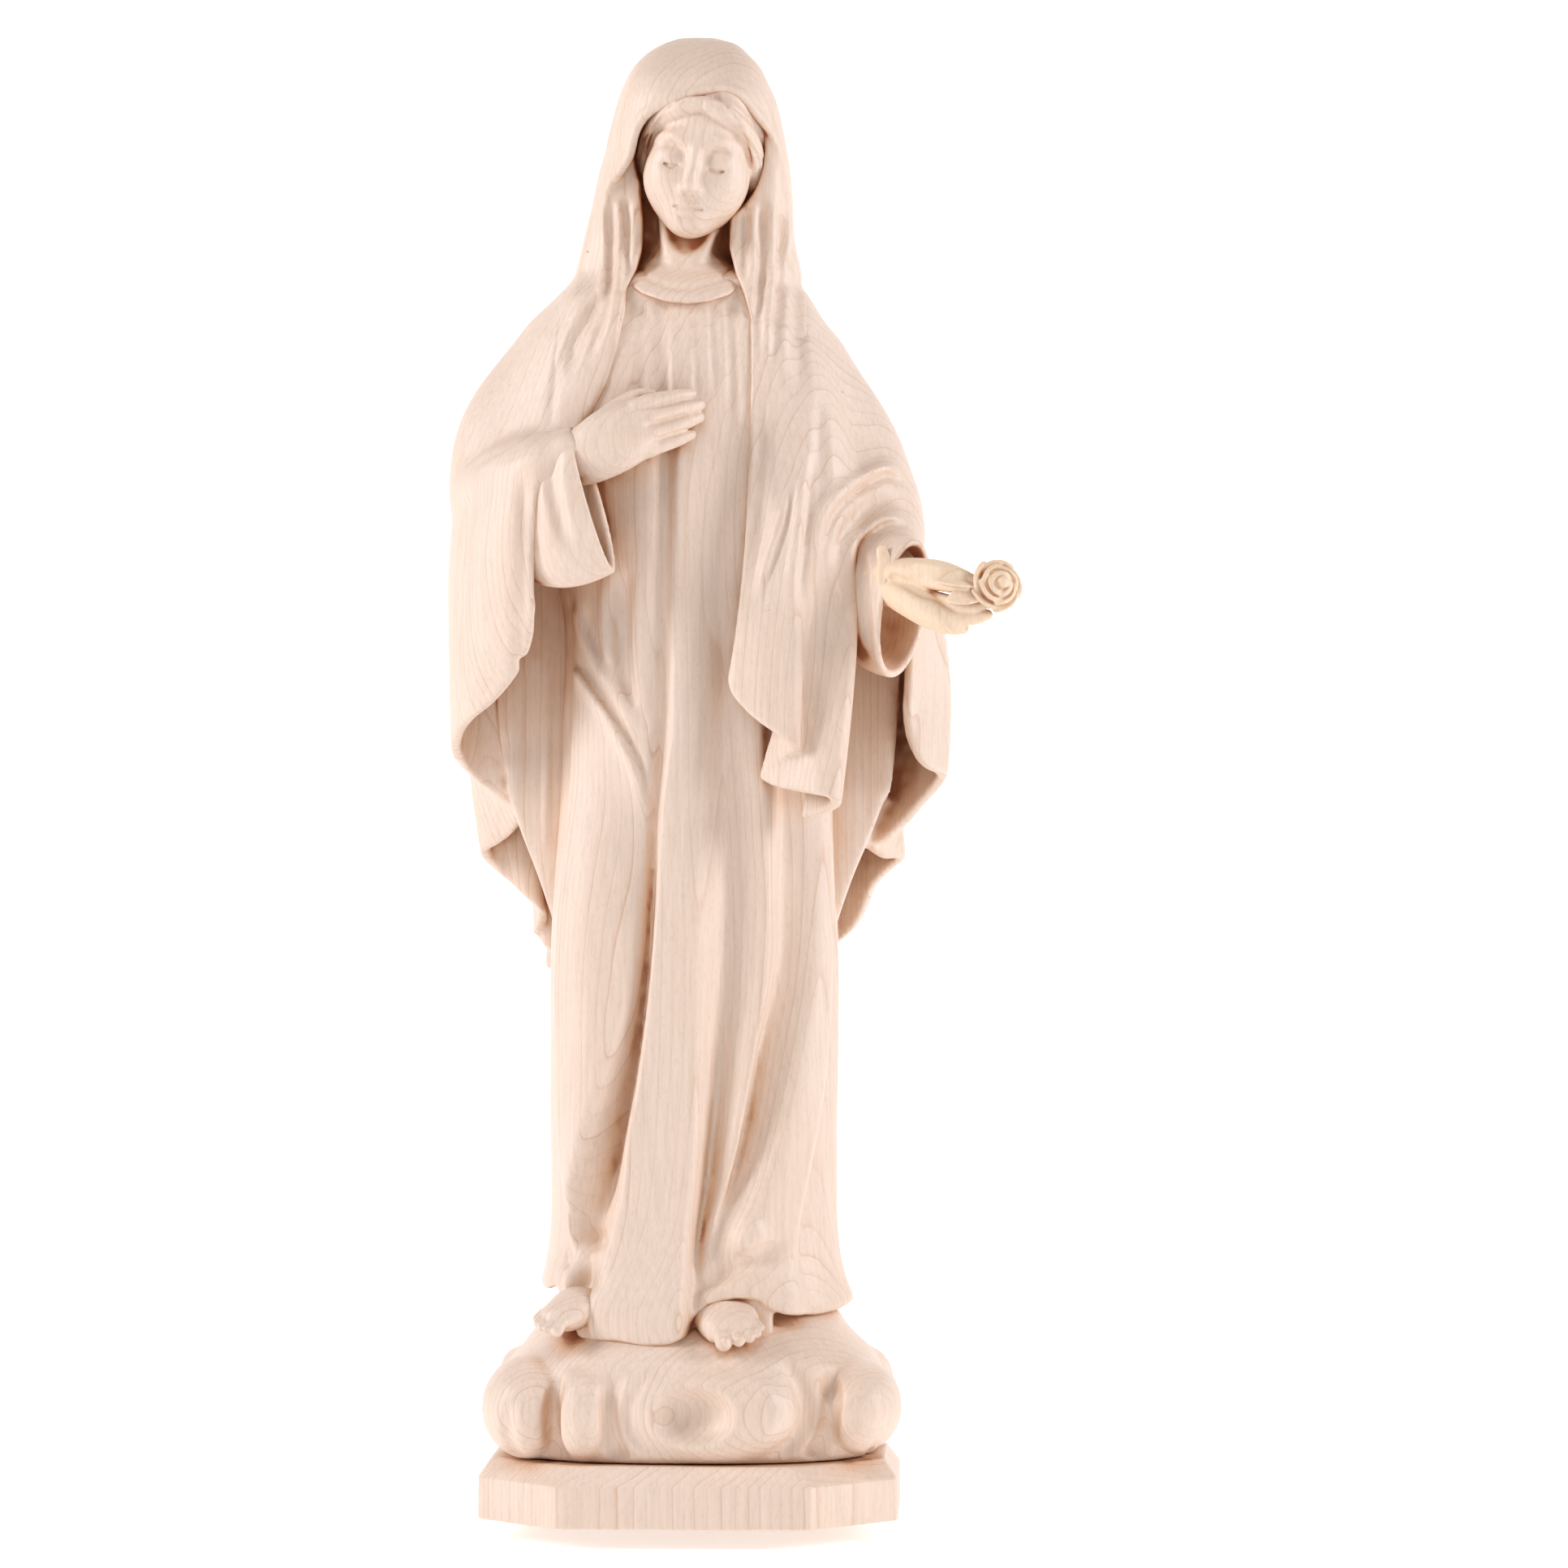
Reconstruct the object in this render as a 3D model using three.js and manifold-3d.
// A carved wooden madonna on a cloud and an eight-sided plinth, 400 mm tall, in millimetres.
// +X is the viewer's right, +Y runs back through the figure and +Z is up.
// The origin is the middle of the plinth's underside. "Right" and "left" in names are the figure's own.
import * as THREE from "three";
import { mergeVertices } from "three/addons/utils/BufferGeometryUtils.js";
import Module from "manifold-3d";

const wasm = await Module();
wasm.setup();

// Driving dimensions
const HEIGHT = 400;
const GAP = 0.35; // glue line left between neighbouring pieces
const DOWEL_CLEARANCE = 0.3;
const PLINTH = { halfWidth: 56.3, halfDepth: 45, corner: 23, wall: 11.5, height: 16.7, bevel: 6.5 };
const CLOUD = { top: 48, halfWidth: 54, halfDepth: 43, lobes: 9, lobeDepth: 0.035 };
const GOWN = { bottom: CLOUD.top + GAP, flutes: 15, fluteDepth: 0.9 };
const MANTLE = { thickness: 4.2, shoulderHollowTop: 296, hollowBack: 0 }; // hollowed only in front of y = 0
const SEGMENTS = { gown: 60, mantle: 48, veil: 36, cloud: 54, small: 16 };
const FAR = 200; // reaches past the whole figure in any direction

const WOOD = { color: 0xe6cdb4, roughness: 0.62, metalness: 0 };
const HAND_WOOD = { color: 0xead2a8, roughness: 0.6, metalness: 0 };
const DOWEL_WOOD = { color: 0xd9b98c, roughness: 0.7, metalness: 0 };

// ---- solids and booleans -------------------------------------------------------------

function solidFrom(geometry) {
  const bare = geometry.clone();
  bare.deleteAttribute("normal");
  bare.deleteAttribute("uv");
  const merged = mergeVertices(bare, 1e-4);
  return new wasm.Manifold(
    new wasm.Mesh({
      numProp: 3,
      vertProperties: new Float32Array(merged.attributes.position.array),
      triVerts: new Uint32Array(merged.index.array),
    }),
  );
}

function geometryFrom(solid) {
  const mesh = solid.getMesh();
  const positions = new Float32Array(mesh.numVert * 3);
  for (let i = 0; i < mesh.numVert; i++)
    positions.set(mesh.vertProperties.subarray(i * mesh.numProp, i * mesh.numProp + 3), i * 3);
  const geometry = new THREE.BufferGeometry();
  geometry.setAttribute("position", new THREE.BufferAttribute(positions, 3));
  geometry.setIndex(new THREE.BufferAttribute(new Uint32Array(mesh.triVerts), 1));
  geometry.computeVertexNormals();
  return geometry;
}

const biggestBody = (solid) => solid.decompose().sort((a, b) => b.volume() - a.volume())[0];

// A closed skin over rings of points that run anticlockwise seen from the last ring.
function skin(rings) {
  const count = rings[0].length;
  const positions = rings.flat().flatMap((p) => [p.x, p.y, p.z]);
  const index = [];
  for (let level = 0; level < rings.length - 1; level++)
    for (let i = 0; i < count; i++) {
      const a = level * count + i;
      const b = level * count + ((i + 1) % count);
      index.push(a, b, b + count, a, b + count, a + count);
    }
  const centreOf = (ring) =>
    ring.reduce((sum, p) => sum.add(p), new THREE.Vector3()).divideScalar(ring.length);
  const lowCentre = positions.length / 3;
  const highCentre = lowCentre + 1;
  const low = centreOf(rings[0]);
  const high = centreOf(rings[rings.length - 1]);
  positions.push(low.x, low.y, low.z, high.x, high.y, high.z);
  const lastRing = (rings.length - 1) * count;
  for (let i = 0; i < count; i++) {
    const next = (i + 1) % count;
    index.push(lowCentre, next, i);
    index.push(highCentre, lastRing + i, lastRing + next);
  }
  const geometry = new THREE.BufferGeometry();
  geometry.setAttribute("position", new THREE.Float32BufferAttribute(positions, 3));
  geometry.setIndex(index);
  return geometry;
}

// Height, then how far the outline reaches to the viewer's left and right, to the front and the back.
// Between stations each reach follows a smooth spline.
function smoothStations(stations, levels) {
  const curves = [1, 2, 3, 4].map(
    (k) => new THREE.CatmullRomCurve3(
      stations.map((s) => new THREE.Vector3(s[0], s[k], 0)), false, "centripetal",
    ),
  );
  return Array.from({ length: levels + 1 }, (_, i) => {
    const t = i / levels;
    const points = curves.map((curve) => curve.getPoint(t));
    return { z: points[0].x, reach: points.map((p) => p.y) };
  });
}

// An upright body of rounded outlines. grow swells it sideways, flute(angle, z) ripples it.
function uprightBody(stations, { segments, levels, grow = 0, flute = () => 0, power = 0.9 }) {
  const bend = (v) => Math.sign(v) * Math.abs(v) ** power;
  const rings = smoothStations(stations, levels).map(({ z, reach: [left, right, front, back] }) =>
    Array.from({ length: segments }, (_, i) => {
      const angle = (i / segments) * Math.PI * 2;
      const across = bend(Math.sin(angle));
      const forward = bend(Math.cos(angle));
      const out = grow + flute(angle, z);
      const middle = (right - left) / 2;
      const halfWidth = (right + left) / 2 + out;
      const halfDepth = (forward > 0 ? front : back) + out;
      return new THREE.Vector3(middle + across * halfWidth, -forward * halfDepth, z);
    }),
  );
  return skin(rings);
}

// Oval sections [x, y, z, half width, half height] along a limb, held upright.
function limb(sections, { segments = SEGMENTS.small, steps = 7, grow = 0 } = {}) {
  const path = new THREE.CatmullRomCurve3(sections.map((s) => new THREE.Vector3(s[0], s[1], s[2])));
  const sizes = new THREE.CatmullRomCurve3(sections.map((s) => new THREE.Vector3(s[3], s[4], 0)));
  const up = new THREE.Vector3(0, 0, 1);
  const rings = Array.from({ length: steps + 1 }, (_, i) => {
    const t = i / steps;
    const centre = path.getPoint(t);
    const along = path.getTangent(t);
    const side = new THREE.Vector3().crossVectors(up, along).normalize();
    const lift = new THREE.Vector3().crossVectors(along, side).normalize();
    const size = sizes.getPoint(t);
    const end = i === 0 ? -grow : i === steps ? grow : 0;
    centre.addScaledVector(along, end);
    return Array.from({ length: segments }, (_, j) => {
      const angle = (j / segments) * Math.PI * 2;
      return centre.clone()
        .addScaledVector(side, Math.cos(angle) * (size.x + grow))
        .addScaledVector(lift, Math.sin(angle) * (size.y + grow));
    });
  });
  return skin(rings);
}

// A front-view outline of [x, z] points, cut from y = near to y = far.
function frontPrism(points, near, far) {
  const shape = new THREE.Shape(points.map(([x, z]) => new THREE.Vector2(x, z)));
  const geometry = new THREE.ExtrudeGeometry(shape, { depth: far - near, bevelEnabled: false });
  geometry.rotateX(Math.PI / 2).translate(0, far, 0);
  return solidFrom(geometry);
}

function dowel(from, to, radius) {
  const a = new THREE.Vector3(...from);
  const b = new THREE.Vector3(...to);
  const geometry = new THREE.CylinderGeometry(radius, radius, a.distanceTo(b), 16);
  const turn = new THREE.Quaternion().setFromUnitVectors(
    new THREE.Vector3(0, 1, 0), b.clone().sub(a).normalize(),
  );
  return geometry.applyQuaternion(turn).translate(...a.add(b).multiplyScalar(0.5).toArray());
}

const bore = ({ from, to, radius }, extra = 0.5) => {
  const a = new THREE.Vector3(...from);
  const b = new THREE.Vector3(...to);
  const along = b.clone().sub(a).normalize().multiplyScalar(extra);
  return solidFrom(dowel(a.sub(along).toArray(), b.add(along).toArray(), radius + DOWEL_CLEARANCE));
};

// ---- plinth and cloud ----------------------------------------------------------------

function plinthGeometry() {
  const ring = (z, inset) => {
    const x = PLINTH.halfWidth - inset;
    const y = PLINTH.halfDepth - inset;
    const cut = PLINTH.corner - inset * (2 - Math.SQRT2);
    return [
      [x - cut, -y], [x, cut - y], [x, y - cut], [x - cut, y],
      [cut - x, y], [-x, y - cut], [-x, cut - y], [cut - x, -y],
    ].map(([px, py]) => new THREE.Vector3(px, py, z));
  };
  return skin([ring(0, 0), ring(PLINTH.wall, 0), ring(PLINTH.height, PLINTH.bevel)]);
}

function cloudGeometry() {
  const { top, halfWidth: w, halfDepth: d } = CLOUD;
  const bottom = PLINTH.height + GAP;
  const stations = [
    [bottom, w - 5, w - 5, d - 6, d - 6],
    [bottom + 5, w - 1.5, w - 1.5, d - 2, d - 2],
    [bottom + 15, w, w, d, d],
    [top - 7, w - 5, w - 4, d - 3, d - 5],
    [top - 2, w - 11, w - 11, d - 7, d - 12],
    [top, w - 17, w - 17, d - 12, d - 18],
  ];
  const flute = (angle, z) => {
    const swell = Math.sin(Math.PI * (z - bottom) / (top - bottom));
    return w * CLOUD.lobeDepth * swell * (Math.abs(Math.sin(angle * CLOUD.lobes / 2 + 0.9)) - 1);
  };
  return uprightBody(stations, { segments: SEGMENTS.cloud, levels: 9, flute });
}

// ---- gown, mantle and veil -----------------------------------------------------------

const GOWN_STATIONS = [
  [GOWN.bottom, 41, 42.5, 35.5, 27],
  [56, 42, 42.8, 34, 27],
  [66, 40, 40.6, 31.5, 26.5],
  [90, 37.6, 38.6, 27, 25.5],
  [130, 37, 39, 25.4, 25.5],
  [170, 36.6, 38.6, 25.6, 25.5],
  [210, 35.6, 37.4, 27, 25],
  [250, 34, 34.5, 28, 24],
  [285, 33, 32, 27.6, 22],
  [305, 31, 29, 25, 20],
  [318, 26, 24, 21.4, 17],
  [327, 17, 15, 16, 14],
  [333, 12, 10, 11.5, 11],
];

function gownGeometry(grow = 0) {
  const flute = (angle, z) => {
    const fade = THREE.MathUtils.smoothstep(330 - z, 0, 90);
    return GOWN.fluteDepth * fade * Math.cos(angle * GOWN.flutes + z / 70);
  };
  return uprightBody(GOWN_STATIONS, { segments: SEGMENTS.gown, levels: 16, grow, flute });
}

const MANTLE_STATIONS = [
  [142.5, 40, 42, 30, 38],
  [165, 52, 52, 32, 38.5],
  [190, 62, 62, 34, 38.5],
  [212, 65.2, 68.6, 36, 38.5],
  [240, 64, 67.8, 37, 38],
  [262, 65.2, 63.6, 37, 36.5],
  [277, 63.4, 60, 35, 34.5],
  [293.5, 54.4, 46.8, 31, 32],
  [307, 48.4, 42.4, 27.5, 29.5],
  [322, 41, 36, 22.8, 26],
  [333, 31, 28.5, 16.5, 20],
  [337, 17, 15, 9, 12],
];

// What is carved away in front: the gap between the two front edges, and everything below the hem.
const FRONT_OPENING = [
  [-20, 345], [14, 345], [16, 300], [17, 262], [11, 232], [10.5, 224],
  [18, 214], [20, 204], [39, 193], [43, 200], [43, 227], [59, 227], [60, 210], [67, 200],
  [FAR, 198], [FAR, 100], [-FAR, 100], [-FAR, 208],
  [-63, 208], [-50, 219], [-41, 236], [-36, 252], [-20, 262], [-20, 300],
];
const BELOW_HEM_BEHIND = [
  [-FAR, 206], [-65, 206], [-54, 194], [-55, 178], [-44, 163], [-38, 149], [-34, 146], [34, 146],
  [41, 155], [48, 167], [57, 178], [58, 186], [68, 199], [FAR, 199], [FAR, 50], [-FAR, 50],
];
const FRONT_TO_BACK_AT = 2; // y where the front cuts stop

function mantleSolid(cutters) {
  const options = { segments: SEGMENTS.mantle, levels: 14 };
  const outer = solidFrom(uprightBody(MANTLE_STATIONS, options));
  const hollowStations = MANTLE_STATIONS.filter((s) => s[0] < MANTLE.shoulderHollowTop);
  const hollow = uprightBody(
    [[100, ...hollowStations[0].slice(1)], ...hollowStations],
    { ...options, grow: -MANTLE.thickness },
  );
  const inFront = frontPrism([[-FAR, 0], [FAR, 0], [FAR, FAR * 2], [-FAR, FAR * 2]], -FAR, MANTLE.hollowBack);
  const cuts = [
    solidFrom(hollow).intersect(inFront),
    frontPrism(FRONT_OPENING, -FAR, FRONT_TO_BACK_AT),
    frontPrism(BELOW_HEM_BEHIND, -FAR, FAR),
    ...cutters,
  ];
  return biggestBody(cuts.reduce((solid, cut) => solid.subtract(cut), outer));
}

const VEIL_STATIONS = [
  [303, 27, 27, 28.5, 30],
  [318, 32, 30, 26, 29.5],
  [335, 31.8, 30.1, 22, 28],
  [345, 29.4, 28.1, 20.5, 27],
  [355, 27, 27.7, 20.5, 26.5],
  [365, 24.8, 26.6, 21.5, 26],
  [375, 22.2, 25, 21.5, 24.5],
  [385, 19.3, 22.2, 19.5, 21],
  [391.6, 16, 19, 16, 17],
  [397, 10, 14, 10, 11],
  [HEIGHT, 2.5, 6.5, 3, 4],
];
const FACE_OPENING = [
  [-15, 301], [-16, 330], [-15, 352], [-13, 366], [-6, 380], [7, 386],
  [15, 376], [19, 362], [18, 345], [16, 301],
];

function veilSolid(cutters) {
  const outer = solidFrom(uprightBody(VEIL_STATIONS, { segments: SEGMENTS.veil, levels: 12 }));
  const cuts = [frontPrism(FACE_OPENING, -FAR, -6), ...cutters];
  return biggestBody(cuts.reduce((solid, cut) => solid.subtract(cut), outer));
}

// ---- head, arms, hands and feet ------------------------------------------------------

const HEAD = { middle: [4, -4, 366], tilt: 0.2, nod: 0.16, halfWidth: 14.5, halfDepth: 17, halfHeight: 21.5 };
const NECK = [[-1, 0, 333.4, 9, 9], [-0.5, -0.5, 340, 8.4, 8.6], [1, -1.5, 352, 8.6, 9]];

function headSolid(grow = 0) {
  const skull = new THREE.SphereGeometry(1, 28, 18);
  skull.rotateX(Math.PI / 2);
  skull.scale(HEAD.halfWidth + grow, HEAD.halfDepth + grow, HEAD.halfHeight + grow);
  skull.rotateX(HEAD.nod).rotateY(HEAD.tilt).translate(...HEAD.middle);
  const neck = NECK.map(([x, y, z, w, h]) => [x, y, z, w + grow, h + grow]);
  neck[0][2] -= grow;
  const neckRings = neck.map(([x, y, z, w, h]) =>
    Array.from({ length: SEGMENTS.small }, (_, i) => {
      const angle = (i / SEGMENTS.small) * Math.PI * 2;
      return new THREE.Vector3(x + Math.sin(angle) * w, y - Math.cos(angle) * h, z);
    }),
  );
  return solidFrom(skull).add(solidFrom(skin(neckRings)));
}

const RIGHT_SLEEVE = [
  [-50, -22, 270, 7, 12], [-42, -29, 269.5, 7.5, 17.5], [-33.5, -34.5, 270, 7.2, 20.8], [-24, -37.8, 273, 6.4, 20.6],
];
const LEFT_SLEEVE = [
  [40, -4, 256, 10, 13], [46, -13, 250.5, 10.5, 17], [52.5, -21.3, 246, 10, 18.8], [58.3, -26.8, 244, 9.4, 19],
];
const SLEEVE_HOLLOW = { depth: 0.45, wall: 2.2 };

// The bell mouth: the last part of the sleeve, made smaller by the wall and run out past the cuff.
function sleeveHollow(sections) {
  const path = new THREE.CatmullRomCurve3(sections.map((s) => new THREE.Vector3(s[0], s[1], s[2])));
  const start = path.getPoint(1 - SLEEVE_HOLLOW.depth);
  const cuff = sections[sections.length - 1];
  const inner = (s, by) => [s[3] - by, s[4] - by];
  const past = path.getPoint(1).add(path.getTangent(1).multiplyScalar(4));
  return solidFrom(limb([
    [...start.toArray(), ...inner(cuff, 5)],
    [...path.getPoint(0.8).toArray(), ...inner(cuff, SLEEVE_HOLLOW.wall + 1)],
    [...past.toArray(), ...inner(cuff, SLEEVE_HOLLOW.wall)],
  ]));
}

const RIGHT_HAND = [
  [-31, -34.6, 283.4, 3.4, 5.2], [-25.5, -36, 285, 4.2, 7.2], [-18, -37, 288.8, 4.8, 8.8],
  [-8, -37.4, 293.4, 3.4, 8.2], [3.2, -36.8, 296.8, 2, 5.2],
];
const LEFT_HAND = [
  [53, -26, 252.6, 4.2, 4.6], [59, -32, 250.6, 5.2, 7], [65, -37, 247.8, 5.6, 8.4],
  [70.4, -40.4, 245.8, 4.4, 7.2], [75.8, -42, 244.6, 2.6, 4.4],
];
const ROSE = { middle: [83.4, -44, 249.8], radius: 6 };
const RIGHT_FOOT = [[-29, -21, 54, 5.4, 5.2], [-32, -28, 54.2, 5.8, 4.6], [-37.4, -35.4, 53, 4.2, 2.4]];
const LEFT_FOOT = [[9.6, -24, 54, 7.6, 5.6], [11.4, -31, 53, 8.4, 4.8], [15.4, -39.6, 50, 6.2, 2.4]];

function roseBlossom() {
  const profile = [
    [0, -5.5], [2.4, -5], [4.6, -2.6], [ROSE.radius, 0.6], [5.1, 2.6], [4.2, 1.9],
    [3.6, 3.8], [2.4, 3.2], [1.6, 4.6], [0, 4.2],
  ].map(([r, h]) => new THREE.Vector2(r, h));
  const geometry = new THREE.LatheGeometry(profile, 18);
  const facing = new THREE.Vector3(0.38, -0.91, 0.16).normalize();
  const turn = new THREE.Quaternion().setFromUnitVectors(new THREE.Vector3(0, 1, 0), facing);
  return geometry.applyQuaternion(turn).translate(...ROSE.middle);
}

const ROSE_STEM = [
  [66, -38, 254, 1.1, 1.1], [71, -41.6, 255.6, 1.1, 1.1], [77.2, -43.6, 253, 1.2, 1.2],
];
const ROSE_LEAF = [
  [67, -43.8, 252.5, 0.8, 0.6], [71, -46.6, 251, 2.6, 0.8], [75.6, -47.6, 249.5, 0.5, 0.5],
];

// ---- dowels that hold the pieces together --------------------------------------------

const PEGS = {
  plinth_dowel_right: { from: [-28, 0, 8], to: [-28, 0, 32], radius: 4 },
  plinth_dowel_left: { from: [28, 0, 8], to: [28, 0, 32], radius: 4 },
  figure_dowel_right: { from: [-16, 2, 36], to: [-16, 2, 66], radius: 4 },
  figure_dowel_left: { from: [16, 2, 36], to: [16, 2, 66], radius: 4 },
  neck_dowel: { from: [-1, 1, 318], to: [-1, 0, 345], radius: 3 },
  right_wrist_dowel: { from: [-42, -29, 280.5], to: [-25, -34.9, 285], radius: 1.8 },
  left_wrist_dowel: { from: [51.5, -14, 254.5], to: [61.5, -27.4, 254.4], radius: 1.6 },
};
const cutBores = (solid, ...names) =>
  names.reduce((rest, name) => rest.subtract(bore(PEGS[name])), solid);

// ---- assembly ------------------------------------------------------------------------

const root = new THREE.Group();

function addPiece(name, solid, finish) {
  const material = new THREE.MeshStandardMaterial(finish);
  const mesh = new THREE.Mesh(geometryFrom(solid), material);
  mesh.name = name;
  root.add(mesh);
}

const grownGown = solidFrom(gownGeometry(GAP + 0.25));
const grown = (sections, by = GAP) => solidFrom(limb(sections, { grow: by }));

const rightHand = cutBores(solidFrom(limb(RIGHT_HAND)), "right_wrist_dowel");
const leftHand = biggestBody(cutBores(
  solidFrom(limb(LEFT_HAND)).subtract(grown(ROSE_STEM)).subtract(grown(ROSE_LEAF)), "left_wrist_dowel",
));
const rose = solidFrom(roseBlossom());

function sleeveSolid(sections, hand, dowelName) {
  const shell = solidFrom(limb(sections)).subtract(sleeveHollow(sections));
  const free = shell.subtract(grownGown).subtract(grown(hand, GAP));
  return biggestBody(cutBores(free, dowelName));
}

const rightSleeve = sleeveSolid(RIGHT_SLEEVE, RIGHT_HAND, "right_wrist_dowel");
const leftSleeve = sleeveSolid(LEFT_SLEEVE, LEFT_HAND, "left_wrist_dowel");

const gown = biggestBody(cutBores(
  solidFrom(gownGeometry()).subtract(grown(RIGHT_FOOT)).subtract(grown(LEFT_FOOT)),
  "figure_dowel_right", "figure_dowel_left", "neck_dowel",
));

const veil = veilSolid([headSolid(GAP + 0.15), grownGown]);
const grownVeil = solidFrom(
  uprightBody(VEIL_STATIONS, { segments: SEGMENTS.veil, levels: 12, grow: GAP + 0.1 }),
);
const belowVeil = frontPrism([[-FAR, 302.6], [FAR, 302.6], [FAR, 450], [-FAR, 450]], -FAR, FAR);
const mantle = mantleSolid([
  grownGown, grownVeil.intersect(belowVeil), grown(RIGHT_SLEEVE), grown(LEFT_SLEEVE),
]);

addPiece("plinth", cutBores(solidFrom(plinthGeometry()), "plinth_dowel_right", "plinth_dowel_left"), WOOD);
const cloudPegs = ["plinth_dowel_right", "plinth_dowel_left", "figure_dowel_right", "figure_dowel_left"];
const cloud = solidFrom(cloudGeometry()).subtract(grown(RIGHT_FOOT)).subtract(grown(LEFT_FOOT));
addPiece("cloud_base", cutBores(cloud, ...cloudPegs), WOOD);
addPiece("gown", gown, WOOD);
addPiece("mantle", mantle, WOOD);
addPiece("veil", veil, WOOD);
addPiece("head", cutBores(headSolid(), "neck_dowel"), WOOD);
addPiece("right_sleeve", rightSleeve, WOOD);
addPiece("left_sleeve", leftSleeve, WOOD);
addPiece("right_hand", rightHand.subtract(grownGown), WOOD);
addPiece("left_hand", leftHand, HAND_WOOD);
addPiece("rose_blossom", rose, HAND_WOOD);
addPiece("rose_stem", solidFrom(limb(ROSE_STEM, { segments: 10 })), HAND_WOOD);
addPiece("rose_leaf", solidFrom(limb(ROSE_LEAF, { segments: 10 })), HAND_WOOD);
addPiece("right_foot", solidFrom(limb(RIGHT_FOOT)), WOOD);
addPiece("left_foot", solidFrom(limb(LEFT_FOOT)), WOOD);
for (const [name, peg] of Object.entries(PEGS))
  addPiece(name, solidFrom(dowel(peg.from, peg.to, peg.radius)), DOWEL_WOOD);

export default root;
